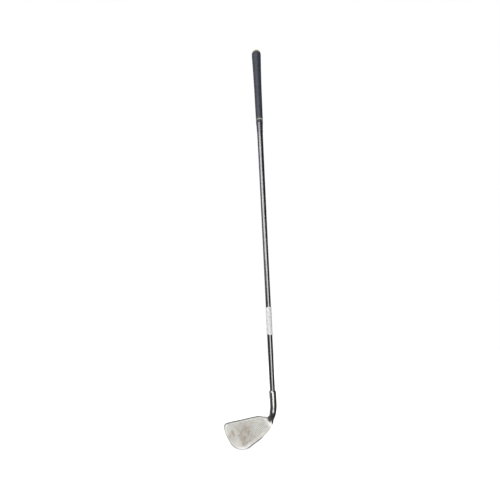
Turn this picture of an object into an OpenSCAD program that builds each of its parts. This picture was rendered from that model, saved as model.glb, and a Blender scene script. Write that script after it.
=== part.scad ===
// Iron golf club, right-handed, cavity back.
// Frame: millimetres. The shaft axis is Z and the butt of the grip is up.
// The origin is the centre of the vent hole in the end of the grip.
// The striking face looks towards -Y and the toe of the blade points towards -X.
// Heights named *_u are measured up the shaft axis from the ground under the soled club.

/* [Club] */
// Length along the shaft axis, from the ground to the butt end
club_length = 965; // [940:5:990]
// Lie, the angle between the ground and the shaft
lie_angle = 61; // [59:0.5:63]
// Loft, how far the face leans back from upright
loft_angle = 28; // [25:0.5:31]

/* [Hosel] */
// Height of the top of the hosel
hosel_top_u = 64.5; // [62:0.5:70]
// Height at which the hosel starts to bend into the neck
hosel_bottom_u = 34; // [33.5:0.5:36]
// Outside diameter of the hosel
hosel_d = 13; // [12.6:0.1:13.6]
// Height of the cone that narrows the top of the hosel to the shaft
hosel_cone_h = 2.5; // [2:0.5:4]
// Diameter of the bore that takes the shaft
hosel_bore_d = 9.7; // [9.65:0.05:9.9]
// Depth of the bore
hosel_bore_depth = 31; // [29:1:32]

/* [Blade] */
// Distance of the leading edge in front of the shaft axis
leading_edge_forward = 2.5; // [1.5:0.25:3.5]
// Height of the leading edge above the ground
leading_edge_height = 4.9; // [4.5:0.1:5.5]
// Thickness of the blade at the topline
topline_thickness = 5.5; // [5:0.25:7]
// Thickness of the face plate in front of the cavity
face_plate_thickness = 3.4; // [2.6:0.1:3.8]
// Width of the rim that surrounds the cavity
cavity_rim = 5.5; // [5:0.5:7]
// Height above the leading edge at which the cavity starts
cavity_floor = 18.5; // [17:0.5:20]

/* [Score lines] */
// Number of score lines
score_count = 15; // [10:1:15]
// Spacing of the score lines
score_pitch = 2.66; // [2.5:0.02:2.7]
// Width of a score line at the face
score_width = 0.9; // [0.6:0.05:0.9]
// Depth of a score line
score_depth = 0.45; // [0.3:0.05:0.5]
// Height of the lowest score line above the leading edge
score_first = 6.1; // [5.5:0.1:6.5]
// Heel end of the score lines, measured from the shaft axis at the ground
score_heel = 6.7; // [5:0.1:8]
// Toe end of the score lines, measured from the shaft axis at the ground
score_toe = 58; // [54:0.5:60]
// Smooth margin between the score lines and the topline
score_margin = 3.4; // [3:0.1:5]

/* [Cavity badge] */
// Length of the badge
badge_length = 30; // [24:1:32]
// Height of the badge
badge_height = 10; // [8:0.5:11]
// Thickness of the badge plate
badge_thickness = 1.1; // [0.8:0.1:1.4]
// Thickness of the adhesive pad under the badge
badge_pad_thickness = 0.4; // [0.3:0.1:0.5]

/* [Shaft] */
// Outside diameter of the shaft tip, up to the hosel
shaft_tip_d = 9.5; // [9.4:0.05:9.55]
// Outside diameter at the knee of the taper
shaft_knee_d = 11.3; // [11:0.1:11.8]
// Height of the knee of the taper
shaft_knee_u = 342; // [320:2:360]
// Outside diameter below the grip
shaft_neck_d = 14.2; // [13.8:0.1:14.5]
// Height at which the taper eases off below the grip
shaft_neck_u = 620; // [600:5:640]
// Outside diameter under the grip
shaft_butt_d = 15; // [14.8:0.1:15.2]
// Wall thickness of the shaft at the butt
shaft_butt_wall = 1.3; // [1.1:0.1:1.6]
// Diameter of the hollow in the shaft tip
shaft_tip_bore_d = 4.6; // [4.4:0.1:5]

/* [Grip] */
// Length of the grip, with its cap
grip_length = 269.5; // [255:0.5:275]
// Outside diameter at the mouth of the grip
grip_mouth_d = 18; // [17.8:0.2:18.6]
// Outside diameter at the butt of the grip
grip_butt_d = 27; // [26:0.2:28]
// Height of the grip cap
grip_cap_h = 9; // [8:0.5:10]
// Radius of the rounded edge of the grip cap
grip_cap_round = 4.5; // [3:0.5:5]
// Diameter of the vent hole in the grip cap
vent_d = 3; // [2.5:0.25:4]
// Thickness of the tape between the shaft and the grip
tape_thickness = 0.25; // [0.2:0.05:0.3]
// Width of the pale band near the mouth of the grip
band_width = 5; // [4:0.5:6]
// Distance of the pale band from the mouth of the grip
band_from_mouth = 8; // [5:0.5:14]
// Length of the tapered collar below the grip
collar_length = 29; // [24:1:36]

/* [Shaft label] */
// Length of the paper label
label_length = 54; // [40:1:60]
// Height of the lower edge of the label
label_u = 162.5; // [150:0.5:200]
// Thickness of the wrapped label
label_thickness = 0.7; // [0.3:0.05:0.8]

/* [Hidden] */
$fn = 64;

// Clearance left between bonded pieces
gap = 0.03;
// How far a cutting shape runs past the surface that it cuts
over = 1;

// Hosel and bore
hosel_r = hosel_d / 2;
hosel_bore_r = hosel_bore_d / 2;
bore_floor_u = hosel_top_u - hosel_bore_depth;

// Shaft, from the tip in the hosel to the butt under the grip cap
tip_head_h = 1.2;
shaft_tip_u = bore_floor_u + tip_head_h + 2 * gap;
grip_mouth_u = club_length - grip_length;
shaft_end_u = club_length - 4;
shaft_outline = [
    [shaft_tip_u, shaft_tip_d / 2],
    [hosel_top_u, shaft_tip_d / 2],
    [shaft_knee_u, shaft_knee_d / 2],
    [shaft_neck_u, shaft_neck_d / 2],
    [grip_mouth_u, shaft_butt_d / 2],
    [shaft_end_u, shaft_butt_d / 2]
];
tip_bore_end_u = 100;
butt_bore_r = shaft_butt_d / 2 - shaft_butt_wall;
bore_outline = [
    [shaft_tip_u - over, shaft_tip_bore_d / 2],
    [tip_bore_end_u, shaft_tip_bore_d / 2],
    [shaft_knee_u, shaft_knee_d / 2 - 1.7],
    [shaft_neck_u, shaft_neck_d / 2 - 1.4],
    [grip_mouth_u, butt_bore_r],
    [shaft_end_u + over, butt_bore_r]
];

// Tip weight and plug inside the shaft
tip_pin_h = 26;
tip_plug_h = 9;
tip_plug_u = shaft_tip_u + tip_pin_h + 4;

// Grip
tape_r = shaft_butt_d / 2 + tape_thickness;
sleeve_bore_r = tape_r + gap;
cap_base_u = club_length - grip_cap_h;
cap_recess_r = 10;
cap_recess_top_u = shaft_end_u + 0.2;
band_depth = 0.7;
grip_outline = [
    [grip_mouth_u, grip_mouth_d / 2],
    [club_length - 219, 9.65],
    [club_length - 145, 10.45],
    [club_length - 105, 11.2],
    [club_length - 66, 11.95],
    [club_length - 43, 12.6],
    [club_length - 25, 13.15],
    [cap_base_u, grip_butt_d / 2]
];
collar_top_r = 8.6;

// Blade outline on the face plane: [towards the toe from the shaft axis, above the leading edge].
// It drops below the leading edge between heel and toe, where the section shapes the sole.
topline_heel = [13.5, 30.1];
topline_toe = [64.3, 49.5];
blade_knots = [
    [-3.2, 8], [-3.4, 16], [0.5, 20.4], [6, 24.6], topline_heel, [40, 40.2], topline_toe,
    [70.8, 51], [74.6, 49], [76.6, 44], [77.2, 36], [76.6, 26.5], [75.2, 18.5],
    [71.8, 11.6], [66.2, 5.2], [60.2, 1.2], [53.5, -1.6], [45, -5], [30, -5],
    [20, -1], [13, 0.5], [5.5, 2.1], [-0.5, 4.6]
];
curve_steps = 4;

// Blade section square to the face: [depth behind the face, height above the leading edge]
sole_knots = [[0, 0], [1.2, -0.6], [3.7, -0.7], [8.9, 0.6], [14, 2.5], [18.5, 5.6], [20, 8.5]];
muscle_top = [topline_thickness + 5, cavity_floor + 0.5];
blade_depth = 22;
section = concat(sole_knots, [
    [19.2, 13],
    muscle_top,
    [topline_thickness, cavity_floor + 5],
    [topline_thickness, 60],
    [0, 60]
]);

// Cavity badge, centred on the floor of the cavity
badge_centre = [42, 27];

// One point of a Catmull-Rom curve between knots b and c
function curve_point(a, b, c, d, t) =
    0.5 * (2 * b + (c - a) * t + (2 * a - 5 * b + 4 * c - d) * t * t
        + (3 * b - a - 3 * c + d) * t * t * t);

// A closed smooth curve through the knots
function closed_curve(k, n) = [
    for (i = [0 : len(k) - 1], s = [0 : n - 1])
        curve_point(
            k[(i + len(k) - 1) % len(k)], k[i], k[(i + 1) % len(k)], k[(i + 2) % len(k)],
            s / n
        )
];

// Distance towards the toe at which the topline has a given height
function topline_x(y) =
    topline_heel[0]
    + (y - topline_heel[1]) * (topline_toe[0] - topline_heel[0]) / (topline_toe[1] - topline_heel[1]);

// Outside radius of the shaft at a height
function shaft_r(u) = lookup(u, shaft_outline);

// Moves a shape made in heights above the ground into the club's frame
module from_ground() {
    translate([0, 0, -club_length]) children();
}

// Soled position: X from heel to toe, Y towards the target, Z up from the ground
module soled() {
    from_ground() rotate([0, lie_angle - 90, 0]) rotate([0, 0, 180]) children();
}

// Face plane: X from heel to toe, Y up the face, Z into the head
module on_face() {
    soled()
        translate([0, leading_edge_forward, leading_edge_height])
            rotate([90 + loft_angle, 0, 0])
                children();
}

// A solid of revolution about the shaft axis, from [height, radius] points
module turned(points) {
    from_ground()
        rotate_extrude()
            polygon([for (p = points) [p[1], p[0]]]);
}

// A sleeve that follows the shaft between two heights
module shaft_wrap(low_u, high_u, inner, outer_low, outer_high) {
    turned([
        [low_u, shaft_r(low_u) + inner],
        [low_u, outer_low],
        [high_u, outer_high],
        [high_u, shaft_r(high_u) + inner]
    ]);
}

// The blade's section, swept from heel to toe
module blade_section_sweep() {
    sweep_start = -6;
    sweep_length = 90;
    on_face()
        translate([sweep_start, 0, 0])
            rotate([90, 0, 90])
                linear_extrude(sweep_length)
                    polygon([for (p = section) [p[1], p[0]]]);
}

// The outline carried straight back from the face, level with the ground
module blade_outline_sweep() {
    start_forward = 10;
    sweep_length = 60;
    soled()
        translate([0, leading_edge_forward + start_forward, leading_edge_height])
            rotate([90, 0, 0])
                linear_extrude(sweep_length)
                    polygon([
                        for (p = closed_curve(blade_knots, curve_steps))
                            [p[0], p[1] * cos(loft_angle)]
                    ]);
}

module blade_body() {
    intersection() {
        blade_outline_sweep();
        blade_section_sweep();
    }
}

// Recess in the back, open to the rear, above the muscle
module cavity_pocket() {
    on_face()
        translate([0, 0, face_plate_thickness])
            linear_extrude(blade_depth)
                intersection() {
                    offset(r = -cavity_rim, $fn = 32)
                        polygon(closed_curve(blade_knots, curve_steps));
                    translate([0, cavity_floor]) square([90, 60]);
                }
}

// Neck between the hosel and the heel of the blade, in convex stretches
module neck() {
    module hosel_foot() {
        from_ground()
            translate([0, 0, hosel_bottom_u - 1])
                cylinder(r = hosel_r - 0.15, h = 3, $fn = 32);
    }
    module top_ball() {
        soled() translate([-13, 0.2, 26]) sphere(r = 6.1, $fn = 32);
    }
    module middle_ball() {
        soled() translate([-4.5, -2.3, 18.6]) sphere(r = 5.5, $fn = 32);
    }
    module heel_ball() {
        soled() translate([-0.4, -7.4, 11.8]) sphere(r = 4.8, $fn = 32);
    }
    module blade_heel() {
        on_face() translate([1, 7, 0.8]) cube([3, 14, 6]);
        on_face() translate([3, 4.2, 1]) cube([3, 6, 10]);
    }
    hull() {
        hosel_foot();
        top_ball();
    }
    hull() {
        top_ball();
        middle_ball();
    }
    hull() {
        middle_ball();
        heel_ball();
        blade_heel();
    }
}

module hosel_body() {
    turned([
        [hosel_bottom_u - 1.5, 0],
        [hosel_bottom_u - 1.5, hosel_r - 1],
        [hosel_bottom_u, hosel_r],
        [hosel_top_u - hosel_cone_h, hosel_r],
        [hosel_top_u, hosel_bore_r + 0.3],
        [hosel_top_u, 0]
    ]);
}

// Straight, shallow trapezoid grooves, each parallel to the leading edge
module score_lines() {
    bottom_share = 0.4;
    for (i = [0 : score_count - 1]) {
        y = score_first + i * score_pitch;
        start = max(score_heel, topline_x(y + score_margin));
        if (score_toe - start > 2)
            on_face()
                translate([start, y, 0])
                    rotate([90, 0, 90])
                        linear_extrude(score_toe - start)
                            polygon([
                                [-score_width / 2, -over],
                                [score_width / 2, -over],
                                [score_width / 2, 0],
                                [score_width * bottom_share / 2, score_depth],
                                [-score_width * bottom_share / 2, score_depth],
                                [-score_width / 2, 0]
                            ]);
    }
}

module clubhead() {
    color("silver")
        difference() {
            union() {
                blade_body();
                neck();
                hosel_body();
            }
            cavity_pocket();
            score_lines();
            turned([
                [bore_floor_u, 0],
                [bore_floor_u, hosel_bore_r],
                [hosel_top_u + over, hosel_bore_r],
                [hosel_top_u + over, 0]
            ]);
        }
}

// A plate with round ends, lying on the cavity floor
module badge_plate(length, height, depth, thickness) {
    end_r = height / 2;
    on_face()
        translate([badge_centre[0], badge_centre[1], depth])
            linear_extrude(thickness) {
                square([length - height, height], center = true);
                for (side = [-1, 1])
                    translate([side * (length / 2 - end_r), 0]) circle(r = end_r);
            }
}

module badge_pad() {
    inset = 1;
    color("black")
        badge_plate(
            badge_length - inset, badge_height - inset,
            face_plate_thickness, badge_pad_thickness
        );
}

module cavity_badge() {
    color("dimgray")
        badge_plate(
            badge_length, badge_height,
            face_plate_thickness + badge_pad_thickness, badge_thickness
        );
}

module shaft_tube() {
    color([0.13, 0.13, 0.15])
        turned(concat(
            shaft_outline,
            [[shaft_end_u, butt_bore_r]],
            [for (i = [4 : -1 : 1]) bore_outline[i]],
            [[shaft_tip_u, shaft_tip_bore_d / 2]]
        ));
}

// Headed pin that seats in the shaft tip and adds swing weight
module tip_weight() {
    pin_r = shaft_tip_bore_d / 2 - gap;
    color("goldenrod")
        turned([
            [bore_floor_u + gap, 0],
            [bore_floor_u + gap, shaft_tip_d / 2],
            [bore_floor_u + gap + tip_head_h, shaft_tip_d / 2],
            [bore_floor_u + gap + tip_head_h, pin_r],
            [shaft_tip_u + tip_pin_h, pin_r],
            [shaft_tip_u + tip_pin_h, 0]
        ]);
}

// Cork above the weight, which keeps loose adhesive out of the shaft
module tip_plug() {
    plug_r = shaft_tip_bore_d / 2 - gap;
    color("burlywood")
        turned([
            [tip_plug_u, 0],
            [tip_plug_u, plug_r],
            [tip_plug_u + tip_plug_h, plug_r],
            [tip_plug_u + tip_plug_h, 0]
        ]);
}

// Cured adhesive between the shaft tip and the hosel bore
module epoxy_bond() {
    color("darkkhaki")
        turned([
            [shaft_tip_u, shaft_tip_d / 2 + gap / 2],
            [shaft_tip_u, hosel_bore_r - gap / 2],
            [hosel_top_u, hosel_bore_r - gap / 2],
            [hosel_top_u, shaft_tip_d / 2 + gap / 2]
        ]);
}

module grip_sleeve() {
    band_low = grip_mouth_u + band_from_mouth;
    band_high = band_low + band_width;
    band_r = lookup(band_low, grip_outline) - band_depth;
    spigot_r = cap_recess_r - gap;
    color([0.29, 0.3, 0.35])
        turned(concat(
            [
                [grip_mouth_u, sleeve_bore_r],
                [grip_mouth_u, grip_mouth_d / 2 - 0.6],
                [grip_mouth_u + 0.6, grip_mouth_d / 2],
                [band_low, lookup(band_low, grip_outline)],
                [band_low, band_r],
                [band_high, band_r],
                [band_high, lookup(band_high, grip_outline)]
            ],
            [for (i = [1 : len(grip_outline) - 1]) grip_outline[i]],
            [
                [cap_base_u, spigot_r],
                [cap_recess_top_u - gap, spigot_r],
                [cap_recess_top_u - gap, sleeve_bore_r]
            ]
        ));
}

module grip_band() {
    low = grip_mouth_u + band_from_mouth + gap;
    high = low + band_width - 2 * gap;
    inner_r = lookup(low, grip_outline) - band_depth + gap;
    color("tan")
        turned([
            [low, inner_r],
            [low, lookup(low, grip_outline)],
            [high, lookup(high, grip_outline)],
            [high, inner_r]
        ]);
}

// Domed cap moulded on to the butt, with a vent hole on the axis
module grip_cap() {
    cap_r = grip_butt_d / 2;
    round_steps = 6;
    edge = [
        for (i = [0 : round_steps])
            let (a = 90 * i / round_steps)
                [
                    club_length - grip_cap_round + grip_cap_round * sin(a),
                    cap_r - grip_cap_round + grip_cap_round * cos(a)
                ]
    ];
    color([0.5, 0.48, 0.45])
        turned(concat(
            [
                [cap_recess_top_u, vent_d / 2],
                [cap_recess_top_u, cap_recess_r],
                [cap_base_u + gap, cap_recess_r],
                [cap_base_u + gap, cap_r]
            ],
            edge,
            [[club_length, vent_d / 2]]
        ));
}

module grip_tape() {
    color("ivory")
        turned([
            [grip_mouth_u + 2, shaft_butt_d / 2 + gap],
            [grip_mouth_u + 2, tape_r],
            [shaft_end_u, tape_r],
            [shaft_end_u, shaft_butt_d / 2 + gap]
        ]);
}

// Tapered collar that closes the step between the grip and the shaft
module grip_collar() {
    low = grip_mouth_u - collar_length;
    high = grip_mouth_u - gap;
    color([0.1, 0.1, 0.12])
        shaft_wrap(low, high, gap, shaft_r(low) + 0.3, collar_top_r);
}

// Blank paper label wrapped once round the shaft
module shaft_label() {
    high = label_u + label_length;
    color("white")
        shaft_wrap(
            label_u, high, gap,
            shaft_r(label_u) + label_thickness, shaft_r(high) + label_thickness
        );
}

clubhead();
cavity_badge();
badge_pad();
shaft_tube();
tip_weight();
tip_plug();
epoxy_bond();
grip_sleeve();
grip_cap();
grip_band();
grip_tape();
grip_collar();
shaft_label();
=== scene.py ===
"""Iron golf club: the visual model, its materials, and the studio round it."""

import math

import bmesh
import bpy
import numpy as np
from mathutils import Euler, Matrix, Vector


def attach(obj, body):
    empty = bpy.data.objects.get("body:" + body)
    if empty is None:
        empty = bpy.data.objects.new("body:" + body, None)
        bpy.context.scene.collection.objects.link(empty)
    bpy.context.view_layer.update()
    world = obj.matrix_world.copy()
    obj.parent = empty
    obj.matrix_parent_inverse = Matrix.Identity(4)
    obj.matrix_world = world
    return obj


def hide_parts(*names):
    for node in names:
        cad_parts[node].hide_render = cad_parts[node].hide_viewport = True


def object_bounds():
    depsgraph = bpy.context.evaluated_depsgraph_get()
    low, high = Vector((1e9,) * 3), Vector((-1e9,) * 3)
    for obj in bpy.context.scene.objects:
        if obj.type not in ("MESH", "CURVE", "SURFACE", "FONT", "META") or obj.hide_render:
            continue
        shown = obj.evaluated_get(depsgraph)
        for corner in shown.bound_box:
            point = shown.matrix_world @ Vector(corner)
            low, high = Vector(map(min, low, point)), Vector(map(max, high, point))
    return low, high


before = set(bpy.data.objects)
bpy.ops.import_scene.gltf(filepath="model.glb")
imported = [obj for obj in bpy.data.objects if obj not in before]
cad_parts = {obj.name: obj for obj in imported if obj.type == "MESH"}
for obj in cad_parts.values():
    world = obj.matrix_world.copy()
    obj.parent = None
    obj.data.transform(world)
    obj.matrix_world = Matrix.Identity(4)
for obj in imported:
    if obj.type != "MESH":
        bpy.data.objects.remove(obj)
cad_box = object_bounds()

MM = 0.001

# ---------------------------------------------------------------- dimensions
# Millimetres, as in the CAD source. Heights are measured up the shaft axis from the ground.
# Knots and profiles are lists of points; a smooth curve or straight lines join them.

CLUB_LENGTH = 965.0
LIE = math.radians(61)
LOFT = math.radians(28)

HOSEL_TOP = 64.5
HOSEL_R = 6.5
HOSEL_CONE = 2.5
HOSEL_JOINT = 52.0  # turned rings above this height, the sculpted head below it
BORE_R = 4.85
BORE_DEPTH = 31.0

LEADING_EDGE = (2.5, 4.9)  # in front of the shaft axis, above the ground
PLATE = 3.4  # thickness behind the face, inside the cavity
RIM = 5.5  # width of the rim round the cavity
CAVITY_FLOOR = 18.5
TOPLINE = 5.5  # thickness of the blade at its top
OUTLINE_KNOTS = [  # towards the toe, up the face
    (-3.2, 8), (-3.4, 16), (0.5, 20.4), (6, 24.6), (13.5, 30.1), (40, 40.2), (64.3, 49.5),
    (70.8, 51), (74.6, 49), (76.6, 44), (77.2, 36), (76.6, 26.5), (75.2, 18.5),
    (71.8, 11.6), (66.2, 5.2), (60.2, 1.2), (53.5, -1.6), (45, -5), (30, -5),
    (20, -1), (13, 0.5), (5.5, 2.1), (-0.5, 4.6),
]
SOLE_KNOTS = [  # behind the face, up the face
    (0, 0), (1.2, -0.6), (3.7, -0.7), (8.9, 0.6), (14, 2.5), (18.5, 5.6), (20, 8.5),
]
BACK_KNOTS = [
    (20, 8.5), (19.2, 12.6), (15.5, 16.2), (TOPLINE + 4.6, CAVITY_FLOOR + 0.8),
    (TOPLINE + 1.2, CAVITY_FLOOR + 4), (TOPLINE, CAVITY_FLOOR + 9),
]
SECTION_TOP = 64.0  # past the outline, which ends the blade
EDGE_ROUND = 0.5
TOE_ROUND = 0.9  # added round the toe
TOE_FADE = (66, 74)  # towards the toe: where that starts and is full
LEADING_ROUND = 0.8  # added along the leading edge
LEADING_FADE = (10, 4)  # up the face: where that starts and is full
LEADING_END = 56  # towards the toe
LEADING_END_FADE = 10
CAVITY_ROUND = 3.0
CAVITY_FLOOR_ROUND = 1.4
CAVITY_LIP_ROUND = 0.6
NECK_PATH = [  # position (toe, target, height above the ground), radius
    ((-28.1, 0.0, 50.7), 6.5),
    ((-24.2, 0.0, 43.7), 6.5),
    ((-19.4, 0.0, 35.0), 6.45),
    ((-16.0, 0.05, 29.9), 6.15),
    ((-12.6, 0.1, 25.6), 5.85),
    ((-10.0, -1.5, 22.7), 5.6),
    ((-7.3, -5.3, 19.4), 5.0),
    ((-4.5, -8.9, 15.0), 4.15),
    ((-2.6, -10.0, 12.0), 3.6),
]
NECK_FILLET = 5.0
NECK_FILLET_FADE = (21, 26)  # above the ground: the fillet doubles between these heights
MESH_BOX = ((-37, -30, -1), (80, 12, 60))
MESH_STEP = 0.55
SLIVER = 0.002  # shorter edges are merged after the cut

SCORE_COUNT = 15
SCORE_PITCH = 2.66
SCORE_WIDTH = 0.9
SCORE_DEPTH = 0.45
SCORE_FIRST = 6.1
SCORE_HEEL = 6.7
SCORE_TOE = 58.0
SCORE_MARGIN = 3.4  # kept clear below the topline
SCORE_PROFILE = [(-0.5, -0.4), (0.5, -0.4), (0.5, 0), (0.2, 1), (-0.2, 1), (-0.5, 0)]

BADGE_CENTRE = (42.0, 27.0)
BADGE_SIZE = (30.0, 10.0)
BADGE_PAD = 0.4
BADGE_PROFILE = [  # inset from the outline, rise above the pad
    (0, 0), (0, 0.8), (0.1, 1.0), (0.3, 1.1), (1.1, 1.1), (1.25, 1.0), (1.3, 0.8), (1.5, 0.75),
]

RUST_PATCHES = [(46, 18, 19), (67, 31, 9)]  # towards the toe, up the face, reach
TOE_CURVE = (46, 31, 32)  # circle close to the toe end of the face: centre, radius

SHAFT_OUTLINE = [(34.76, 4.75), (64.5, 4.75), (342, 5.65), (620, 7.1), (695.5, 7.5), (961, 7.5)]
SHAFT_BORE = [(34.76, 2.3), (100, 2.3), (342, 3.95), (620, 5.7), (695.5, 6.2), (961, 6.2)]

MOUTH = 695.5
GRIP_OUTLINE = [
    (MOUTH, 9.0), (746, 9.65), (820, 10.45), (860, 11.2), (899, 11.95), (922, 12.6),
    (940, 13.15), (956, 13.5),
]
GRIP_BORE = 7.78
BAND = (MOUTH + 8, MOUTH + 13)
BAND_DEPTH = 0.7
SLEEVE_TOP = 956.0
CAP_R = 13.5
CAP_ROUND = 4.5
CAP_RECESS_R = 10.0
RECESS_TOP = 961.2
VENT_R = 1.5
COLLAR_LENGTH = 29.0
COLLAR_TOP_R = 8.6
LABEL = (162.5, 216.5)
PAPER_LIFT = (0.2, 0.45, 0.62)  # least, mean and most that the paper stands off the shaft
PAPER_SKINS = (0.08, -0.04)  # its outer and inner surface
GAP = 0.03

SEGMENTS = 128
CRISP_ANGLE = 50  # degrees; edges sharper than this are not smoothed
HEAD_CRISP_ANGLE = 48

# ---------------------------------------------------------------- camera
# The photograph's viewing angle: metres, degrees, and millimetres of lens on a 36 mm film.

CAMERA_PLACE = (-0.09298, -0.54112, -0.81837)
CAMERA_TURN = (109.599, 1.466, -5.631)
CAMERA_LENS = 19.0

# ---------------------------------------------------------------- stage and lights
# The stage is in millimetres, like the club. The lights are in metres and watts.

STAGE_SEGMENTS = 96
FLOOR_R = 5000
FLOOR_DROP = 0.001  # metres below the lowest point of the club
WALL = [(7000, 0.01), (6000, 3000), (2000, 4000), (-1, 4000)]  # above the floor, radius
AIR_COLOUR = (0.93, 0.95, 1.0)
AIR_STRENGTH = 0.05
LIGHTS = [  # name, place, aim, size, power
    ("key", (-0.97, -1.65, 0.72), (0, 0, -0.4), (2.2, 1.5), 32),
    ("front", (0.04, -1.75, -0.65), (0, 0, -0.65), (1.2, 1.5), 19),
    ("left", (-2.0, 0.5, 0.4), (0, 0, -0.5), (1.5, 1.6), 4),
    ("back", (0, 1.0, 2.0), (0, 0, -0.6), (2.0, 0.9), 14),
    ("back_low", (0.5, 2.2, 0.8), (0, 0, -0.6), (1.0, 1.2), 7),
    ("toe_rim", (-0.9, 0.9, -1.6), (-0.05, 0, -0.95), (2.0, 0.6), 13),
    ("toe_edge", (-0.5, 1.45, -1.35), (-0.05, 0, -0.95), (1.2, 0.35), 5),
]

# ---------------------------------------------------------------- finishes
# Linear colours. A pair is what a noise pattern blends between.

SATIN_STEEL = (0.39, 0.382, 0.36), (0.34, 0.33, 0.305)
POLISHED_STEEL = (0.52, 0.51, 0.495), (0.45, 0.44, 0.42)
# painted shade for the edges just behind the face
EDGE_SHADE = (0.12, 0.105, 0.085)
RUST = (0.19, 0.13, 0.07)
# painted reflection: the bluer colour near the grip stands for the lavender reflection up the
# shaft
SHAFT_BLACK_AND_REFLECTION_TINT = (0.222, 0.218, 0.21), (0.2, 0.197, 0.222)  # near the head, near the grip
SHAFT_CLOUD = (0.25, 0.245, 0.255)
SHAFT_FLECK = (0.33, 0.325, 0.34)
GRIP_RUBBER = (0.039, 0.043, 0.059), (0.051, 0.056, 0.075)
CAP_RUBBER = (0.21, 0.175, 0.14), (0.3, 0.26, 0.21)
BAND_PLASTIC = (0.4, 0.385, 0.34), (0.17, 0.165, 0.16)
COLLAR_PLASTIC = (0.13, 0.128, 0.15), (0.18, 0.176, 0.2)
PAPER = (0.86, 0.86, 0.87), (0.6, 0.6, 0.63)
BADGE_METAL = (0.12, 0.12, 0.13), (0.2, 0.2, 0.21)
HIDDEN = [  # CAD node, material, colour pair, size of the mottling in mm, roughness, metallic
    ("tip_weight", "brass", ((0.62, 0.45, 0.18), (0.72, 0.55, 0.26)), 3, 0.3, 1.0),
    ("tip_plug", "cork", ((0.42, 0.27, 0.14), (0.6, 0.42, 0.25)), 0.8, 0.85, 0.0),
    ("epoxy_bond", "adhesive", ((0.35, 0.31, 0.17), (0.5, 0.45, 0.27)), 2, 0.35, 0.0),
    ("grip_tape", "tape", ((0.62, 0.58, 0.48), (0.75, 0.71, 0.6)), 1.5, 0.8, 0.0),
    ("badge_pad", "foam_pad", ((0.02, 0.02, 0.02), (0.05, 0.05, 0.05)), 0.6, 0.9, 0.0),
]

# ---------------------------------------------------------------- frames of the head

TOE = np.array([-math.sin(LIE), 0, -math.cos(LIE)])
TARGET = np.array([0, -1.0, 0])
SKY = np.array([-math.cos(LIE), 0, math.sin(LIE)])
FACE_NORMAL = math.cos(LOFT) * TARGET + math.sin(LOFT) * SKY
UP_FACE = math.cos(LOFT) * SKY - math.sin(LOFT) * TARGET
GROUND = np.array([0, 0, -CLUB_LENGTH])
FACE_ORIGIN = GROUND + LEADING_EDGE[0] * TARGET + LEADING_EDGE[1] * SKY


def from_soled(points):
    """Club frame, mm, of points given as toe, target and height above the ground."""
    return GROUND + np.asarray(points) @ np.array([TOE, TARGET, SKY])


def from_face(points):
    """Club frame, mm, of points given as toe, up the face and depth behind it."""
    return FACE_ORIGIN + np.asarray(points) @ np.array([TOE, UP_FACE, -FACE_NORMAL])


# ---------------------------------------------------------------- meshes


def new_object(name, points_mm, faces, smooth=True):
    """A mesh object from points in mm, smoothed except at its crisp edges."""
    mesh = bpy.data.meshes.new(name)
    mesh.from_pydata((np.asarray(points_mm) * MM).tolist(), [], [list(f) for f in faces])
    mesh.validate()
    obj = bpy.data.objects.new(name, mesh)
    bpy.context.scene.collection.objects.link(obj)
    if smooth:
        mesh.shade_smooth()
        mesh.set_sharp_from_angle(angle=math.radians(CRISP_ANGLE))
    return obj


def smooth_curve(knots, steps):
    """A closed Catmull-Rom curve through the knots."""
    k = np.asarray(knots, float)
    a, b, c, d = np.roll(k, 1, 0), k, np.roll(k, -1, 0), np.roll(k, -2, 0)
    rows = []
    for s in range(steps):
        t = s / steps
        rows.append(0.5 * (2 * b + (c - a) * t + (2 * a - 5 * b + 4 * c - d) * t**2
                           + (3 * b - a - 3 * c + d) * t**3))
    return np.stack(rows, 1).reshape(-1, k.shape[1])


def open_curve(knots, steps):
    """An open Catmull-Rom curve through the knots, with its end knots."""
    k = np.asarray(knots, float)
    ends = np.vstack([2 * k[0] - k[1], k, 2 * k[-1] - k[-2]])
    whole = smooth_curve(ends, steps)
    return np.vstack([whole[steps:steps * len(k)], k[-1:]])


def turned(name, profile, segments=SEGMENTS, closed=True):
    """A surface turned about the shaft axis, from (height, radius) points.

    A closed profile runs up the outside and down the inside, so its faces look outwards.
    """
    profile = np.asarray(profile, float)
    angles = np.arange(segments) * 2 * math.pi / segments
    ring = np.stack([np.cos(angles), np.sin(angles)], 1)
    points = np.zeros((len(profile), segments, 3))
    points[:, :, :2] = profile[:, 1, None, None] * ring
    points[:, :, 2] = profile[:, 0, None] - CLUB_LENGTH
    faces = []
    rows = len(profile) if closed else len(profile) - 1
    for i in range(rows):
        lower, upper = i * segments, (i + 1) % len(profile) * segments
        for s in range(segments):
            e = (s + 1) % segments
            faces.append((lower + s, lower + e, upper + e, upper + s))
    return new_object(name, points.reshape(-1, 3), faces)


def dense(profile, step):
    """The profile with extra points, so that no stretch is longer than step."""
    out = [profile[0]]
    for p, q in zip(profile, profile[1:]):
        count = max(1, math.ceil(math.dist(p, q) / step))
        out += [(p[0] + (q[0] - p[0]) * i / count, p[1] + (q[1] - p[1]) * i / count)
                for i in range(1, count + 1)]
    return out


def radius_at(profile, height):
    """Radius of a (height, radius) profile at a height."""
    return float(np.interp(height, [p[0] for p in profile], [p[1] for p in profile]))


def quarter(centre, radius, start, end, steps=8):
    """Points of an arc in the (height, radius) plane, by angle from the radial direction."""
    angles = np.radians(np.linspace(start, end, steps + 1))
    return [(centre[0] + radius * math.sin(a), centre[1] + radius * math.cos(a)) for a in angles]


# ---------------------------------------------------------------- head shape


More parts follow.
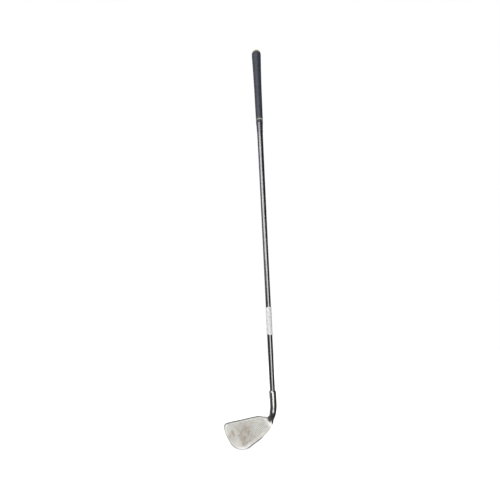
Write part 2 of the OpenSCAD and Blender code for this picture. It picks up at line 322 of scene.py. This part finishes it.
def polygon_distance(px, py, polygon):
    """Signed distance to a closed polygon, negative inside."""
    shape = px.shape
    px, py = px.ravel(), py.ravel()
    best = np.full(px.shape, 1e9)
    inside = np.zeros(px.shape, bool)
    for (ax, ay), (bx, by) in zip(polygon, np.roll(polygon, -1, 0)):
        ex, ey = bx - ax, by - ay
        wx, wy = px - ax, py - ay
        t = np.clip((wx * ex + wy * ey) / (ex * ex + ey * ey), 0, 1)
        best = np.minimum(best, (wx - ex * t) ** 2 + (wy - ey * t) ** 2)
        if ay != by:
            crosses = (ay > py) != (by > py)
            inside ^= crosses & (px < ex * (py - ay) / ey + ax)
    return (np.where(inside, -1, 1) * np.sqrt(best)).reshape(shape)


def rounded_max(d1, d2, r):
    """Intersection of two shapes with its edge rounded to a radius."""
    corner = np.hypot(np.maximum(d1 + r, 0), np.maximum(d2 + r, 0))
    return np.minimum(np.maximum(d1, d2), -r) + corner


def blended_min(d1, d2, fillet):
    """Union of two shapes with a fillet between them."""
    share = np.maximum(fillet - np.abs(d1 - d2), 0) / fillet
    return np.minimum(d1, d2) - share * share * fillet / 4


def ramp(value, start, end):
    """0 at the start, 1 at the end, straight between them and level outside."""
    return np.clip((value - start) / (end - start), 0, 1)


OUTLINE = smooth_curve(OUTLINE_KNOTS, 6)
SECTION = np.vstack([
    open_curve(SOLE_KNOTS, 4), open_curve(BACK_KNOTS, 4)[1:],
    [(TOPLINE, SECTION_TOP), (0, SECTION_TOP)],
])


def tube_distance(p, path):
    """Distance to a tube of changing radius along a path of (position, radius)."""
    knots = np.array([[*centre, r] for centre, r in path])
    line = open_curve(knots, 4)
    best = np.full(p.shape[:-1], 1e9)
    for a, b in zip(line[:-1], line[1:]):
        e = b[:3] - a[:3]
        t = np.clip((p - a[:3]) @ e / (e @ e), 0, 1)
        gap = p - a[:3] - t[..., None] * e
        best = np.minimum(best, np.sqrt((gap * gap).sum(-1)) - a[3] - t * (b[3] - a[3]))
    return best


def head_distance(p):
    """Signed distance to the head, before its score lines and hosel top, at soled points in mm."""
    toe, target, sky = p[..., 0], p[..., 1], p[..., 2]
    forward, height = target - LEADING_EDGE[0], sky - LEADING_EDGE[1]
    up = height * math.cos(LOFT) - forward * math.sin(LOFT)
    depth = -forward * math.cos(LOFT) - height * math.sin(LOFT)

    outline = polygon_distance(toe, height / math.cos(LOFT), OUTLINE) * math.cos(LOFT)
    section = polygon_distance(depth, up, SECTION)
    from_end = np.minimum(toe, LEADING_END - toe)
    leading = ramp(up, *LEADING_FADE) * ramp(from_end, 0, LEADING_END_FADE)
    edge = EDGE_ROUND + TOE_ROUND * ramp(toe, *TOE_FADE) + LEADING_ROUND * leading
    blade = rounded_max(outline, section, edge)

    flat_outline = polygon_distance(toe, up, OUTLINE)
    opening = rounded_max(flat_outline + RIM, CAVITY_FLOOR - up, CAVITY_ROUND)
    pocket = rounded_max(opening, PLATE - depth, CAVITY_FLOOR_ROUND)
    blade = rounded_max(blade, -pocket, CAVITY_LIP_ROUND)

    fillet = NECK_FILLET * (1 + ramp(sky, *NECK_FILLET_FADE))
    return blended_min(blade, tube_distance(p, NECK_PATH), fillet)


def sample_grid(lo, hi, step, block=4):
    """Grid lines along each axis, and the head's distance at every crossing near its surface."""
    lines = [a + step * np.arange(block * math.ceil((b - a) / step / block))
             for a, b in zip(lo, hi)]
    coarse = np.stack(np.meshgrid(*[axis[::block] for axis in lines], indexing="ij"), -1)
    rough = head_distance(coarse + step * (block - 1) / 2)
    for axis in range(3):
        rough = np.repeat(rough, block, axis)
    near = np.argwhere(np.abs(rough) < step * block * 1.2)
    points = np.array(lo) + near * step
    rough[tuple(near.T)] = head_distance(points)
    return lines, rough


def surface_net(lines, field):
    """Quads round the zero surface of a field, one point in each cell that it crosses."""
    inside = field < 0
    corners = [(i, j, k) for i in (0, 1) for j in (0, 1) for k in (0, 1)]
    cells = [n - 1 for n in field.shape]

    def corner_view(array, c):
        return array[c[0]:c[0] + cells[0], c[1]:c[1] + cells[1], c[2]:c[2] + cells[2]]

    count = sum(corner_view(inside, c).astype(int) for c in corners)
    at = np.argwhere((count > 0) & (count < 8))
    number = np.full(cells, -1)
    number[tuple(at.T)] = np.arange(len(at))

    values = [field[tuple((at + c).T)] for c in corners]
    total, weight = np.zeros((len(at), 3)), np.zeros(len(at))
    for m, a in enumerate(corners):
        for n, b in enumerate(corners):
            if m < n and sum(abs(np.subtract(a, b))) == 1:
                crosses = (values[m] < 0) != (values[n] < 0)
                t = np.where(crosses, values[m] / np.where(crosses, values[m] - values[n], 1), 0)
                total += crosses[:, None] * (a + t[:, None] * np.subtract(b, a))
                weight += crosses
    step = lines[0][1] - lines[0][0]
    low = np.array([axis[0] for axis in lines])
    points = low + (at + total / weight[:, None]) * step

    faces = []
    for axis in range(3):
        one, two = [v for v in range(3) if v != axis]
        if axis == 1:
            one, two = two, one
        shape = list(field.shape)
        first = [slice(None)] * 3
        second = [slice(None)] * 3
        first[axis], second[axis] = slice(0, shape[axis] - 1), slice(1, shape[axis])
        start, end = inside[tuple(first)], inside[tuple(second)]
        edges = np.argwhere(start != end)
        leaves = start[tuple(edges.T)]
        ring = []
        for d_one, d_two in ((1, 1), (0, 1), (0, 0), (1, 0)):
            cell = edges.copy()
            cell[:, one] -= d_one
            cell[:, two] -= d_two
            ring.append(number[tuple(cell.T)])
        ring = np.stack(ring, 1)
        ring[~leaves] = ring[~leaves][:, ::-1]
        faces.append(ring)
    return points, np.vstack(faces)


def settle(points, rounds=3, probe=0.02, furthest=0.4):
    """Points moved on to the head's true surface, along the slope of the distance there."""
    ways = np.array([(1, 1, 1), (1, -1, -1), (-1, 1, -1), (-1, -1, 1)])
    for _ in range(rounds):
        values = [head_distance(points + probe * way) for way in ways]
        slope = sum(v[:, None] * way for v, way in zip(values, ways)) / (4 * probe)
        steepness = np.maximum((slope * slope).sum(-1), 0.05)
        move = sum(values) / 4 / steepness
        points = points - np.clip(move, -furthest, furthest)[:, None] * slope
    return points


def topline_toe(up):
    """How far towards the toe the topline is this far up the face."""
    (x0, y0), (x1, y1) = OUTLINE_KNOTS[4], OUTLINE_KNOTS[6]
    return x0 + (up - y0) * (x1 - x0) / (y1 - y0)


def score_cutters():
    """Shallow trapezoid bars that cut the score lines."""
    points, faces = [], []
    n = len(SCORE_PROFILE)
    for i in range(SCORE_COUNT):
        up = SCORE_FIRST + i * SCORE_PITCH
        start = max(SCORE_HEEL, topline_toe(up + SCORE_MARGIN))
        base = len(points)
        for toe in (start, SCORE_TOE):
            points += [(toe, up + y * SCORE_WIDTH, d * SCORE_DEPTH) for y, d in SCORE_PROFILE]
        faces.append([base + j for j in range(n)][::-1])
        faces.append([base + n + j for j in range(n)])
        faces += [(base + j, base + (j + 1) % n, base + n + (j + 1) % n, base + n + j)
                  for j in range(n)]
    return new_object("score_cutters", from_face(points), faces, smooth=False)


def add_hosel_top(obj):
    """Replaces the hosel above the joint by true rings: wall, cone, rim and bore."""
    floor = HOSEL_TOP - BORE_DEPTH
    cone = HOSEL_TOP - HOSEL_CONE
    rim = BORE_R + 0.3
    rings = [
        (cone - 4, HOSEL_R), (cone - 0.5, HOSEL_R), (cone - 0.1, HOSEL_R - 0.02),
        (cone + 0.3, HOSEL_R - 0.18), (HOSEL_TOP - 0.1, rim + 0.04), (HOSEL_TOP, rim - 0.04),
        (HOSEL_TOP, BORE_R + 0.03), (HOSEL_TOP - 0.05, BORE_R), (HOSEL_JOINT, BORE_R),
        (floor + 0.2, BORE_R), (floor, BORE_R - 0.2),
    ]
    bm = bmesh.new()
    bm.from_mesh(obj.data)
    bmesh.ops.bisect_plane(
        bm, geom=bm.verts[:] + bm.edges[:] + bm.faces[:], dist=1e-7,
        plane_co=(0, 0, (HOSEL_JOINT - CLUB_LENGTH) * MM), plane_no=(0, 0, 1), clear_outer=True,
    )
    loop = {v for e in bm.edges if e.is_boundary for v in e.verts}
    loop = sorted(loop, key=lambda v: math.atan2(v.co.y, v.co.x))
    around = [Vector((v.co.x, v.co.y, 0)).normalized() for v in loop]
    for height, radius in rings:
        z = Vector((0, 0, (height - CLUB_LENGTH) * MM))
        ring = [bm.verts.new(way * radius * MM + z) for way in around]
        for i, j in zip(range(-1, len(loop) - 1), range(len(loop))):
            bm.faces.new((loop[i], loop[j], ring[j], ring[i]))
        loop = ring
    bm.faces.new(loop)
    bm.normal_update()
    bm.to_mesh(obj.data)
    bm.free()


def cut(obj, cutter):
    """Cuts one mesh out of another, exactly, removes the cutter, and cleans away slivers."""
    step = obj.modifiers.new("cut", "BOOLEAN")
    step.operation, step.solver, step.object = "DIFFERENCE", "EXACT", cutter
    graph = bpy.context.evaluated_depsgraph_get()
    mesh = bpy.data.meshes.new_from_object(obj.evaluated_get(graph))
    obj.modifiers.clear()
    obj.data = mesh
    bpy.data.objects.remove(cutter)
    bm = bmesh.new()
    bm.from_mesh(mesh)
    bmesh.ops.remove_doubles(bm, verts=bm.verts[:], dist=SLIVER * MM)
    bmesh.ops.triangulate(bm, faces=[f for f in bm.faces if len(f.verts) > 3],
                          quad_method="BEAUTY", ngon_method="BEAUTY")
    bmesh.ops.dissolve_degenerate(bm, dist=SLIVER * MM, edges=bm.edges[:])
    bm.to_mesh(mesh)
    bm.free()


def clubhead():
    """Head as one closed mesh, with its score lines cut into the face."""
    points, faces = surface_net(*sample_grid(*MESH_BOX, MESH_STEP))
    head = new_object("iron_head", from_soled(settle(points)), faces, smooth=False)
    add_hosel_top(head)
    cut(head, score_cutters())
    head.data.shade_smooth()
    head.data.set_sharp_from_angle(angle=math.radians(HEAD_CRISP_ANGLE))
    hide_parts("clubhead")
    return head


# ---------------------------------------------------------------- shaft, grip and label


def placed(obj, node):
    """Stands the piece in for its CAD node, whose part it hides."""
    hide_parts(node)
    return obj


def shaft():
    """Stepless taper with a hollow inside, its ends slightly rounded."""
    low, high = SHAFT_OUTLINE[0][0], SHAFT_OUTLINE[-1][0]
    outer = dense([(low + 0.4, 4.75)] + SHAFT_OUTLINE[1:-1] + [(high - 0.3, 7.5)], 12)
    inner = dense(SHAFT_BORE[::-1], 30)
    obj = turned("shaft", [(low, 4.4)] + outer + [(high, 7.2)] + inner)
    return placed(obj, "shaft_tube")


def grip_sleeve():
    """Rubber sleeve with a rolled lip at the mouth and a groove for the band."""
    low, high = BAND
    r_low, r_high = radius_at(GRIP_OUTLINE, low), radius_at(GRIP_OUTLINE, high)
    lip = [(MOUTH, GRIP_BORE)] + quarter((MOUTH + 0.7, 8.3), 0.7, -90, 0)
    below_band = dense([(MOUTH + 0.9, 9.0), (low - 0.25, r_low)], 2)
    groove = [(low, r_low - 0.25), (low, r_low - BAND_DEPTH), (high, r_low - BAND_DEPTH),
              (high, r_high - 0.25)]
    body = dense([(high + 0.25, r_high)] + GRIP_OUTLINE[1:], 6)[:-1]
    end = [(SLEEVE_TOP - 0.3, CAP_R), (SLEEVE_TOP, CAP_R - 0.3), (SLEEVE_TOP, CAP_RECESS_R - GAP),
           (RECESS_TOP - 0.1, CAP_RECESS_R - GAP), (RECESS_TOP - 0.1, GRIP_BORE)]
    profile = lip + below_band + groove + body + end
    return placed(turned("grip_rubber", profile), "grip_sleeve")


def grip_band():
    """Pale inlaid ring, its edges worn round."""
    low, high = BAND[0] + GAP, BAND[1] - GAP
    r_low, r_high = radius_at(GRIP_OUTLINE, low), radius_at(GRIP_OUTLINE, high)
    profile = [(low, r_low - 0.6), (low, r_low - 0.22), (low + 0.08, r_low - 0.08),
               (low + 0.25, r_low - 0.02), (high - 0.25, r_high - 0.02),
               (high - 0.08, r_high - 0.08), (high, r_high - 0.22), (high, r_low - 0.6)]
    return placed(turned("grip_ring", profile), "grip_band")


def grip_cap():
    """Domed end of the grip, with a fine parting step below it and a countersunk vent."""
    top = CLUB_LENGTH
    shoulder = quarter((top - CAP_ROUND, CAP_R - CAP_ROUND), CAP_ROUND, 0, 80, 12)
    skirt = [(RECESS_TOP, VENT_R), (RECESS_TOP, CAP_RECESS_R), (SLEEVE_TOP + GAP, CAP_RECESS_R),
             (SLEEVE_TOP + GAP, CAP_R - 0.35), (SLEEVE_TOP + 0.4, CAP_R)]
    crown = [(top - 0.02, 8), (top, 6), (top, VENT_R + 0.7), (top - 0.1, VENT_R + 0.3),
             (top - 0.5, VENT_R)]
    return placed(turned("grip_cap_shell", skirt + shoulder + crown), "grip_cap")


def grip_collar():
    """Glossy tapered collar, hollow-sided, with a rolled upper edge."""
    low, high = MOUTH - COLLAR_LENGTH, MOUTH - GAP
    low_r = radius_at(SHAFT_OUTLINE, low) + 0.3
    wall = []
    for i in range(25):
        t = i / 24
        wall.append((low + (high - 0.8 - low) * t,
                     low_r + (COLLAR_TOP_R - low_r) * (0.75 * t + 0.25 * t * t)))
    roll = [(high - 0.3, COLLAR_TOP_R - 0.06), (high, COLLAR_TOP_R - 0.3)]
    inner = [(end, radius_at(SHAFT_OUTLINE, end) + GAP) for end in (high, low)]
    profile = [(low, wall[0][1] - 0.15)] + wall + roll + inner
    return placed(turned("collar", profile), "grip_collar")


def shaft_label():
    """Blank paper wrapped once round the shaft, a little loose and creased."""
    rng = np.random.default_rng(5)
    around, along = 96, 90
    low, high = LABEL
    waves = [(rng.integers(1, 5), rng.uniform(1, 9), rng.uniform(0, 6.28), rng.uniform(0.02, 0.07))
             for _ in range(14)]

    def paper(t, turn, skin, at_end):
        """A point of the paper, by its share of the length and its angle round the shaft."""
        crease = sum(a * math.sin(k * turn + f * 6.28 * t + p) for k, f, p, a in waves)
        curl = 0.12 * (abs(2 * t - 1) ** 8)
        least, mean, most = PAPER_LIFT
        lift = min(max(mean + crease + curl, least), most)
        wavy = 0.25 + 0.2 * math.sin(2 * turn + 1) + 0.12 * math.sin(5 * turn)
        height = low + (high - low) * t + ((0.5 - t) * 2 * wavy if at_end else 0)
        height = min(max(height, low), high)
        r = radius_at(SHAFT_OUTLINE, height) + lift + skin
        return r * math.cos(turn), r * math.sin(turn), height - CLUB_LENGTH

    points = [paper(i / along, 2 * math.pi * j / around, skin, i in (0, along))
              for skin in PAPER_SKINS for i in range(along + 1) for j in range(around)]
    sheet = (along + 1) * around
    top = along * around
    faces = []
    for i in range(along):
        for j in range(around):
            k = (j + 1) % around
            a, b, c, d = i * around + j, i * around + k, (i + 1) * around + k, (i + 1) * around + j
            faces += [(a, b, c, d), (sheet + d, sheet + c, sheet + b, sheet + a)]
    for j in range(around):
        k = (j + 1) % around
        faces += [(sheet + j, sheet + k, k, j),
                  (top + j, top + k, sheet + top + k, sheet + top + j)]
    return placed(new_object("paper_label", points, faces), "shaft_label")


def badge():
    """Plate with round ends, a bevelled border and a sunk field."""
    length, height = BADGE_SIZE
    half, segments = (length - height) / 2, 24
    loops = []
    for inset, rise in BADGE_PROFILE:
        r = height / 2 - inset
        loop = []
        for side in (1, -1):
            for i in range(segments + 1):
                a = math.pi * (i / segments - 0.5) + (0 if side > 0 else math.pi)
                loop.append((BADGE_CENTRE[0] + side * half + r * math.cos(a),
                             BADGE_CENTRE[1] + r * math.sin(a), PLATE + BADGE_PAD + rise))
        loops.append(loop)
    n = len(loops[0])
    faces = [tuple(reversed(range(n)))]
    for row in range(len(loops) - 1):
        for i in range(n):
            j = (i + 1) % n
            a, b = row * n, (row + 1) * n
            faces.append((a + i, a + j, b + j, b + i))
    faces.append(tuple(range((len(loops) - 1) * n, len(loops) * n)))
    obj = new_object("badge_plate", from_face([p for loop in loops for p in loop]), faces)
    return placed(obj, "cavity_badge")


# ---------------------------------------------------------------- materials


class Look:
    """A Principled material with short calls for the node set-ups used below."""

    def __init__(self, name, **values):
        self.material = bpy.data.materials.new(name)
        self.material.use_nodes = True
        self.nodes = self.material.node_tree.nodes
        self.links = self.material.node_tree.links
        self.shader = self.nodes["Principled BSDF"]
        for key, value in values.items():
            socket = self.shader.inputs[key.replace("_", " ")]
            socket.default_value = (*value, 1) if isinstance(value, tuple) else value
        self.place = self.nodes.new("ShaderNodeTexCoord").outputs["Object"]
        self.relief = None

    def node(self, kind, inputs=None, **settings):
        """A shader node; an input is a value or the socket that feeds it."""
        made = self.nodes.new("ShaderNode" + kind)
        for key, value in settings.items():
            setattr(made, key, value)
        for key, value in (inputs or {}).items():
            if isinstance(value, bpy.types.NodeSocket):
                self.links.new(value, made.inputs[key])
            else:
                made.inputs[key].default_value = value
        return made

    def stretched(self, x, y, z):
        """Object coordinates scaled along each axis."""
        return self.node("Mapping", {"Vector": self.place, "Scale": (x, y, z)}).outputs[0]

    def noise(self, size_mm, detail=4, rough=0.5, vector=None, distortion=0):
        """Noise whose features are about this size."""
        return self.node("TexNoise", {
            "Vector": vector or self.place, "Scale": 1000 / size_mm, "Detail": detail,
            "Roughness": rough, "Distortion": distortion}).outputs["Fac"]

    def spread(self, value, low, high, to_low=0.0, to_high=1.0):
        """A smooth step from one value to another, as the input goes from low to high."""
        return self.node("MapRange", {
            "Value": value, "From Min": low, "From Max": high, "To Min": to_low,
            "To Max": to_high}, interpolation_type="SMOOTHSTEP").outputs["Result"]

    def math(self, operation, a, b):
        """One step of arithmetic."""
        return self.node("Math", {0: a, 1: b}, operation=operation).outputs[0]

    def along(self, axis, origin_mm):
        """Distance along a direction from a point, in mm."""
        offset = -float(np.dot(origin_mm, axis))
        dot = self.node("VectorMath", {0: self.place, 1: tuple(1000 * x for x in axis)},
                        operation="DOT_PRODUCT").outputs["Value"]
        return self.math("ADD", dot, offset)

    def away(self, x, y, x0, y0):
        """Distance of two measured coordinates from a spot."""
        spot = self.node("CombineXYZ", {0: x, 1: y}).outputs[0]
        return self.node("VectorMath", {0: spot, 1: (x0, y0, 0)},
                         operation="DISTANCE").outputs["Value"]

    def mix(self, share, a, b):
        """A blend of two colours, all b where the share is 1."""
        made = self.node("Mix", data_type="RGBA")
        for socket, value in ((made.inputs[6], a), (made.inputs[7], b)):
            if isinstance(value, bpy.types.NodeSocket):
                self.links.new(value, socket)
            else:
                socket.default_value = (*value, 1)
        self.links.new(share, made.inputs[0])
        return made.outputs[2]

    def set(self, name, value):
        """Feeds an input of the shader."""
        self.links.new(value, self.shader.inputs[name])

    def bump(self, value, depth_mm):
        """Adds relief of about this depth."""
        inputs = {"Height": value, "Distance": depth_mm * MM, "Strength": 1.0}
        if self.relief:
            inputs["Normal"] = self.relief
        self.relief = self.node("Bump", inputs).outputs[0]
        self.links.new(self.relief, self.shader.inputs["Normal"])

    def paint(self, obj):
        """Makes this the only material of an object."""
        obj.data.materials.clear()
        obj.data.materials.append(self.material)


def head_steel():
    """Blasted, worn face between a polished toe rim and heel; brushed elsewhere. The bright toe
    rim is partly real polish and partly a painted highlight.
    """
    look = Look("head_steel", Metallic=1.0)
    toe = look.along(TOE, FACE_ORIGIN)
    up = look.along(UP_FACE, FACE_ORIGIN)
    depth = look.along(-FACE_NORMAL, FACE_ORIGIN)

    # How far each place is blasted, from 0 to 1.
    on_face = look.spread(depth, 0.05, 0.25, 1, 0)
    *centre, radius = TOE_CURVE
    # the toe rim takes the brighter polished colour: real polish, and a painted highlight along
    # the toe border
    toe_rim = look.math("MULTIPLY", look.spread(toe, 40, 50),
                        look.spread(look.away(toe, up, *centre), radius - 4.5, radius - 1.5))
    face_heel = look.spread(toe, 2.5, 5)
    blasted = look.math("MULTIPLY", on_face, look.math("SUBTRACT", face_heel, toe_rim))
    blasted = look.math("MAXIMUM", blasted, 0.0)

    # Clean steel, then dirt on the edges behind the face, then rust on the face.
    worn = look.spread(look.noise(9, 6, 0.65), 0.35, 0.75)
    satin = look.mix(worn, *SATIN_STEEL)
    polished = look.mix(worn, *POLISHED_STEEL)
    # Clean steel, then painted shade on the edges behind the face, then rust on the face.
    steel = look.mix(blasted, polished, satin)
    # painted shade: a dark band along the topline and sole edges, fading out towards the toe
    edge_shade = look.math("MULTIPLY", look.spread(depth, 0.08, 0.3), look.spread(depth, 5.6, 5.0))
    edge_shade = look.math("MULTIPLY", edge_shade, look.spread(toe, 62, 56, 0, 0.42))
    steel = look.mix(edge_shade, steel, EDGE_SHADE)
    patches = [look.spread(look.away(toe, up, *centre), reach, 0.35 * reach)
               for *centre, reach in RUST_PATCHES]
    rust = look.math("MULTIPLY", look.math("MAXIMUM", *patches), blasted)
    rust = look.math("MULTIPLY", rust, look.spread(look.noise(7, 6, 0.6), 0.36, 0.6, 0, 0.6))
    look.set("Base Color", look.mix(rust, steel, RUST))

    # Fine brushing runs all over. Blasted steel is grained as well, and rougher.
    grain = look.noise(0.5, 2, 0.5)
    brushed = look.noise(1.0, 5, 0.6, look.stretched(0.15, 1.4, 1.4))
    rough_face = look.spread(look.noise(6, 4), 0.3, 0.7, 0.42, 0.5)
    rough_rest = look.spread(brushed, 0.3, 0.7, 0.26, 0.32)
    near_face = look.math("MAXIMUM", blasted, look.spread(depth, -8, -1))
    rough = look.node("Mix", {0: near_face, 2: rough_rest, 3: rough_face})
    look.set("Roughness", rough.outputs[0])
    look.bump(look.math("MULTIPLY", grain, blasted), 0.012)
    look.bump(brushed, 0.002)
    return look


def black_shaft():
    """Black lacquer with a painted bluish reflection towards the grip, clouds and fine flecks."""
    look = Look("shaft_paint", Metallic=1.0, Coat_Weight=0.5, Coat_Roughness=0.08, Roughness=0.3)
    height = look.along((0, 0, 1), GROUND)
    # painted reflection: the lacquer turns bluer towards the grip
    tone = look.mix(look.spread(height, 250, 650), *SHAFT_BLACK_AND_REFLECTION_TINT)
    tone = look.mix(look.spread(look.noise(40, 3), 0.3, 0.7), tone, SHAFT_CLOUD)
    fleck = look.spread(look.noise(0.4, 2, 0.5), 0.6, 0.85)
    look.set("Base Color", look.mix(fleck, tone, SHAFT_FLECK))
    look.bump(look.noise(3, 3, 0.4, look.stretched(1, 1, 0.3)), 0.005)
    return look


def grip_rubber():
    """Dark blue-grey rubber, finely pebbled and unevenly worn."""
    look = Look("grip_rubber", Specular_IOR_Level=0.65)
    wear = look.spread(look.noise(25, 5, 0.6, look.stretched(1, 1, 0.4)), 0.35, 0.7)
    look.set("Base Color", look.mix(wear, *GRIP_RUBBER))
    look.set("Roughness", look.spread(wear, 0, 1, 0.46, 0.58))
    look.bump(look.noise(0.5, 4, 0.6), 0.03)
    look.bump(look.noise(4, 3, 0.5), 0.03)
    return look


def cap_rubber():
    """Dull brown rubber under dust."""
    look = Look("cap_rubber", Roughness=0.75)
    dust = look.spread(look.noise(5, 5, 0.6), 0.4, 0.7)
    look.set("Base Color", look.mix(dust, *CAP_RUBBER))
    look.bump(look.noise(0.6, 4, 0.6), 0.05)
    return look


def band_plastic():
    """Off-white ring with patches of grime."""
    look = Look("band_plastic", Roughness=0.55)
    grime = look.spread(look.noise(3, 5, 0.6), 0.4, 0.75)
    look.set("Base Color", look.mix(grime, *BAND_PLASTIC))
    look.bump(look.noise(0.8, 3, 0.5), 0.03)
    return look


def collar_plastic():
    """Glossy dark collar with a light haze."""
    look = Look("collar_plastic", Metallic=0.8, Coat_Weight=0.5, Coat_Roughness=0.1, Roughness=0.3)
    haze = look.spread(look.noise(6, 4, 0.5), 0.35, 0.7)
    look.set("Base Color", look.mix(haze, *COLLAR_PLASTIC))
    look.bump(look.noise(2, 3, 0.5), 0.006)
    return look


def label_paper():
    """White paper, smudged and creased."""
    look = Look("label_paper", Roughness=0.6, Specular_IOR_Level=0.3)
    smudge = look.spread(look.noise(9, 5, 0.65), 0.55, 0.75)
    look.set("Base Color", look.mix(look.math("MULTIPLY", smudge, 0.5), *PAPER))
    look.bump(look.noise(0.5, 4, 0.7), 0.02)
    look.bump(look.noise(7, 3, 0.5, distortion=0.6), 0.15)
    return look


def badge_metal():
    """Dark plate, brushed along the head."""
    look = Look("badge_metal", Metallic=0.9, Roughness=0.35)
    brushed = look.noise(1.2, 5, 0.6, look.stretched(0.2, 1.5, 1.5))
    look.set("Base Color", look.mix(look.spread(brushed, 0.3, 0.7), *BADGE_METAL))
    look.bump(brushed, 0.01)
    return look


def paint_hidden_nodes():
    """A mottled finish for each piece inside the club, on its own CAD node."""
    for node, name, colours, size_mm, roughness, metallic in HIDDEN:
        look = Look(name, Roughness=roughness, Metallic=metallic)
        look.set("Base Color", look.mix(look.spread(look.noise(size_mm, 5), 0.3, 0.7), *colours))
        look.bump(look.noise(size_mm / 3, 4), 0.03)
        look.paint(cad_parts[node])


# ---------------------------------------------------------------- studio


def stage_paint(name, albedo):
    """A matt surface of the stage, with an even white glow."""
    look = Look(name, Roughness=0.9, Specular_IOR_Level=0.1, Emission_Color=(1.0, 1.0, 1.0),
                Emission_Strength=1.0)
    tone = look.spread(look.noise(400, 2), 0.3, 0.7)
    look.set("Base Color", look.mix(tone, (albedo,) * 3, (albedo * 0.99,) * 3))
    return look


def floor_paint():
    """The floor's glow is less near the club, where the lights add to it."""
    look = stage_paint("floor_paint", 0.8)
    away = look.node("VectorMath", {0: look.stretched(1, 1, 0)}, operation="LENGTH")
    look.set("Emission Strength", look.spread(away.outputs["Value"], 0.15, 0.9, 0.82, 1.0))
    return look


def studio(floor_z):
    """A pale floor and a round pale wall, which the lights shine through."""
    floor_mm = floor_z / MM + CLUB_LENGTH
    floor = turned("floor", [(floor_mm, FLOOR_R), (floor_mm, 0.01)], STAGE_SEGMENTS, closed=False)
    floor_paint().paint(floor)
    dome = [(floor_mm + rise, radius) for rise, radius in WALL]
    wall = turned("wall", dome, STAGE_SEGMENTS, closed=False)
    stage_paint("wall_paint", 0.02).paint(wall)
    for obj in (floor, wall):
        obj.visible_diffuse = obj.visible_glossy = obj.visible_shadow = False


def ambient():
    """Dim air that fills the shadows."""
    world = bpy.data.worlds.new("studio_air")
    bpy.context.scene.world = world
    world.use_nodes = True
    background = world.node_tree.nodes["Background"]
    background.inputs["Color"].default_value = (*AIR_COLOUR, 1)
    background.inputs["Strength"].default_value = AIR_STRENGTH


def lights():
    """Soft rectangular lights, each pointed at a spot."""
    for name, place, aim, size, power in LIGHTS:
        data = bpy.data.lights.new(name, "AREA")
        data.shape, data.size, data.size_y = "RECTANGLE", *size
        data.energy = power
        obj = bpy.data.objects.new(name, data)
        bpy.context.scene.collection.objects.link(obj)
        obj.location = place
        obj.rotation_euler = (Vector(aim) - Vector(place)).to_track_quat("-Z", "Y").to_euler()
        obj.visible_camera = False


def photo_camera():
    """The camera of the photograph."""
    camera = bpy.data.objects.new("camera", bpy.data.cameras.new("camera"))
    bpy.context.scene.collection.objects.link(camera)
    camera.location = Vector(CAMERA_PLACE)
    camera.rotation_euler = Euler([math.radians(a) for a in CAMERA_TURN])
    camera.data.lens = CAMERA_LENS
    bpy.context.scene.camera = camera


def build():
    """Makes and paints every piece that shows, then sets up the studio."""
    makers = [
        (clubhead, head_steel), (badge, badge_metal), (shaft, black_shaft),
        (grip_sleeve, grip_rubber), (grip_cap, cap_rubber), (grip_band, band_plastic),
        (grip_collar, collar_plastic), (shaft_label, label_paper),
    ]
    for make, look in makers:
        piece = make()
        look().paint(piece)
        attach(piece, "root")
    paint_hidden_nodes()
    photo_camera()
    lights()
    ambient()
    studio(cad_box[0].z - FLOOR_DROP)
    bpy.context.scene.view_settings.view_transform = "Standard"


build()
